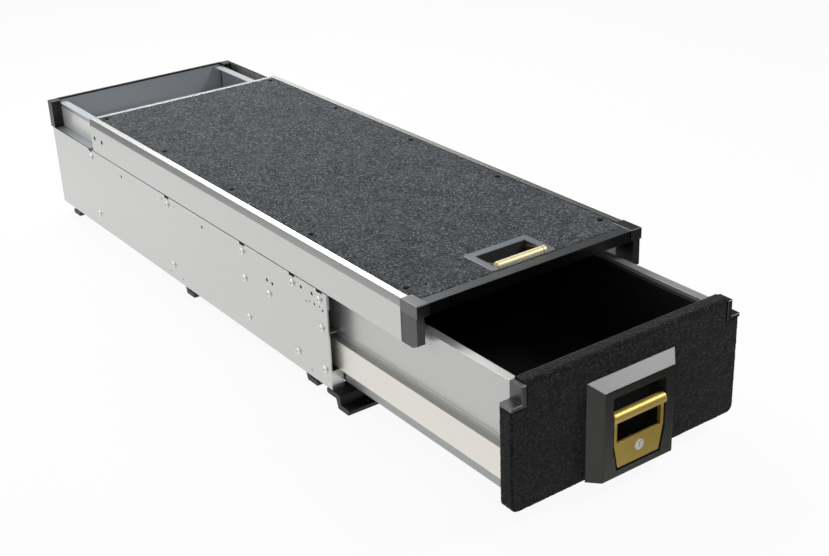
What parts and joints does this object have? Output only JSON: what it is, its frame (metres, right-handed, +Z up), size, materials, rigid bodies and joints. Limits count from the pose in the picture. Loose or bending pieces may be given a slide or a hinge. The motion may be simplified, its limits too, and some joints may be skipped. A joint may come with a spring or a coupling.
{
  "type": "sliding floor drawer",
  "caption": "Low cargo drawer unit: one deep drawer on side slides under a carpeted floor that slides out on rollers, on a bolt-down chassis.",
  "frame": {"origin": "on the surface that the foot rails stand on, midway between the four holding-down holes", "axes": "+X across to the right seen from the drawer's front, +Y from the front to the rear, +Z up"},
  "size_m": [0.5076, 1.799, 0.3165],
  "materials": {
    "silver_sheet": "satin, lightly brushed sheet",
    "slide_band": "warm zinc-plated steel, satin",
    "black_steel": "black powder coat, fine grain",
    "black_plastic": "moulded, fine grain",
    "floor_fleece": "needle-punched carpet, charcoal with light flecks",
    "front_fleece": "needle-punched carpet, near black",
    "ply_board": "film-faced plywood",
    "black_lining": "black laminate, matt",
    "mat_rubber": "ribbed rubber",
    "gold_alloy": "gold anodised, satin",
    "lock_steel": "satin",
    "zinc_steel": "bright zinc",
    "dark_screw": "black oxide",
    "ball_steel": "polished steel balls in pressed strips",
    "roller_nylon": "turned nylon"
  },
  "bodies": {
    "chassis": {"side_panel_left": "silver_sheet", "side_panel_right": "silver_sheet", "side_trim": "black_steel", "rear_panel": "silver_sheet", "rear_trim": "black_steel", "upper_rail_left": "silver_sheet", "upper_rail_right": "silver_sheet", "rear_cap_left": "black_plastic", "rear_cap_right": "black_plastic", "front_foot_rail": "black_steel", "foot_rails": "black_steel", "slide_outer_left": "silver_sheet", "slide_outer_right": "silver_sheet", "front_gussets": "silver_sheet", "side_screws": "zinc_steel", "foot_bolts": "zinc_steel", "striker_pin": "zinc_steel", "front_roller_axles": "zinc_steel", "floor_buffers": "mat_rubber"},
    "drawer": {"drawer_side_left": "silver_sheet", "drawer_side_right": "silver_sheet", "drawer_bottom": "ply_board", "drawer_mat": "mat_rubber", "drawer_back": "silver_sheet", "drawer_liners": "black_lining", "front_board": "ply_board", "front_carpet": "front_fleece", "front_cap_left": "black_plastic", "front_cap_right": "black_plastic", "slide_inner_left": "slide_band", "slide_inner_right": "slide_band", "handle_housing": "black_plastic", "lever_pin": "zinc_steel", "latch_plate": "silver_sheet"},
    "slide_cage_left": {"ball_cage_left": "ball_steel"},
    "slide_cage_right": {"ball_cage_right": "ball_steel"},
    "pull_lever": {"handle_lever": "gold_alloy", "lock_body": "lock_steel"},
    "lock": {"lock_plug": "lock_steel"},
    "push_rod": {"latch_rod": "zinc_steel"},
    "pawl": {"latch_pawl": "zinc_steel"},
    "claw": {"latch_claw": "zinc_steel"},
    "sliding_floor": {"floor_board": "ply_board", "floor_carpet": "floor_fleece", "floor_rail_left": "silver_sheet", "floor_rail_right": "silver_sheet", "floor_front_bar": "black_steel", "floor_rear_trim": "silver_sheet", "floor_cap_left": "black_plastic", "floor_cap_right": "black_plastic", "floor_screws": "dark_screw", "floor_handle_tub": "black_plastic", "roller_carriages": "silver_sheet"},
    "pull_bail": {"floor_handle": "gold_alloy"},
    "catch_left": {"catch_rod_left": "zinc_steel"},
    "catch_right": {"catch_rod_right": "zinc_steel"},
    "wheel_front_left": {"front_roller_left": "roller_nylon"},
    "wheel_front_right": {"front_roller_right": "roller_nylon"},
    "wheel_rear_left": {"rear_roller_left": "roller_nylon"},
    "wheel_rear_right": {"rear_roller_right": "roller_nylon"}
  },
  "joints": [
    {"name": "drawer_slide", "type": "slide", "parent": "chassis", "child": "drawer", "axis": [0, -1, 0], "range_m": [-0.463, 0.4]},
    {"name": "cage_left_slide", "type": "slide", "parent": "chassis", "child": "slide_cage_left", "axis": [0, -1, 0], "range_m": [-0.232, 0.2005]},
    {"name": "cage_right_slide", "type": "slide", "parent": "chassis", "child": "slide_cage_right", "axis": [0, -1, 0], "range_m": [-0.232, 0.2005]},
    {"name": "floor_slide", "type": "slide", "parent": "chassis", "child": "sliding_floor", "axis": [0, -1, 0], "range_m": [-0.228, 0.6]},
    {"name": "lever_pull", "type": "hinge", "parent": "drawer", "child": "pull_lever", "pos_m": [0, -1.114, 0.064], "axis": [1, 0, 0], "range_deg": [0, 25], "stiffness_Nm_per_rad": 0.6, "springref_deg": -20.05},
    {"name": "lock_turn", "type": "hinge", "parent": "pull_lever", "child": "lock", "pos_m": [0, -1.126, 0.077], "axis": [0, -1, 0], "range_deg": [0, 90]},
    {"name": "push_rod_slide", "type": "slide", "parent": "drawer", "child": "push_rod", "axis": [0, 1, 0], "range_m": [0, 0.008]},
    {"name": "pawl_turn", "type": "hinge", "parent": "drawer", "child": "pawl", "pos_m": [0.036, -1.049, 0.043], "axis": [0, 0, 1], "range_deg": [-25, 0]},
    {"name": "claw_turn", "type": "hinge", "parent": "drawer", "child": "claw", "pos_m": [-0.012, -1.039, 0.043], "axis": [0, 0, 1], "range_deg": [0, 60]},
    {"name": "floor_handle_lift", "type": "hinge", "parent": "sliding_floor", "child": "pull_bail", "pos_m": [0, -0.782, 0.298], "axis": [-1, 0, 0], "range_deg": [0, 70], "stiffness_Nm_per_rad": 0.3, "springref_deg": -17.19},
    {"name": "catch_left_slide", "type": "slide", "parent": "sliding_floor", "child": "catch_left", "axis": [1, 0, 0], "range_m": [0, 0.0085]},
    {"name": "catch_right_slide", "type": "slide", "parent": "sliding_floor", "child": "catch_right", "axis": [-1, 0, 0], "range_m": [0, 0.0085]},
    {"name": "wheel_front_left_spin", "type": "hinge", "parent": "chassis", "child": "wheel_front_left", "pos_m": [-0.236, -0.529, 0.2582], "axis": [1, 0, 0], "range_deg": [-850, 2250]},
    {"name": "wheel_rear_left_spin", "type": "hinge", "parent": "sliding_floor", "child": "wheel_rear_left", "pos_m": [-0.236, 0.3765, 0.2428], "axis": [1, 0, 0], "range_deg": [-850, 2250]},
    {"name": "wheel_front_right_spin", "type": "hinge", "parent": "chassis", "child": "wheel_front_right", "pos_m": [0.236, -0.529, 0.2582], "axis": [1, 0, 0], "range_deg": [-850, 2250]},
    {"name": "wheel_rear_right_spin", "type": "hinge", "parent": "sliding_floor", "child": "wheel_rear_right", "pos_m": [0.236, 0.3765, 0.2428], "axis": [1, 0, 0], "range_deg": [-850, 2250]}
  ],
  "couplings": [
    {"joint": "cage_left_slide", "follows": "drawer_slide", "ratio": 0.5},
    {"joint": "cage_right_slide", "follows": "drawer_slide", "ratio": 0.5},
    {"joint": "push_rod_slide", "follows": "lever_pull", "m_per_rad": 0.0169},
    {"joint": "pawl_turn", "follows": "lever_pull", "ratio": -0.88947},
    {"joint": "catch_left_slide", "follows": "floor_handle_lift", "m_per_rad": 0.0065},
    {"joint": "catch_right_slide", "follows": "floor_handle_lift", "m_per_rad": 0.0065},
    {"joint": "wheel_front_left_spin", "follows": "floor_slide", "rad_per_m": 64.516},
    {"joint": "wheel_rear_left_spin", "follows": "floor_slide", "rad_per_m": 64.516},
    {"joint": "wheel_front_right_spin", "follows": "floor_slide", "rad_per_m": 64.516},
    {"joint": "wheel_rear_right_spin", "follows": "floor_slide", "rad_per_m": 64.516}
  ]
}
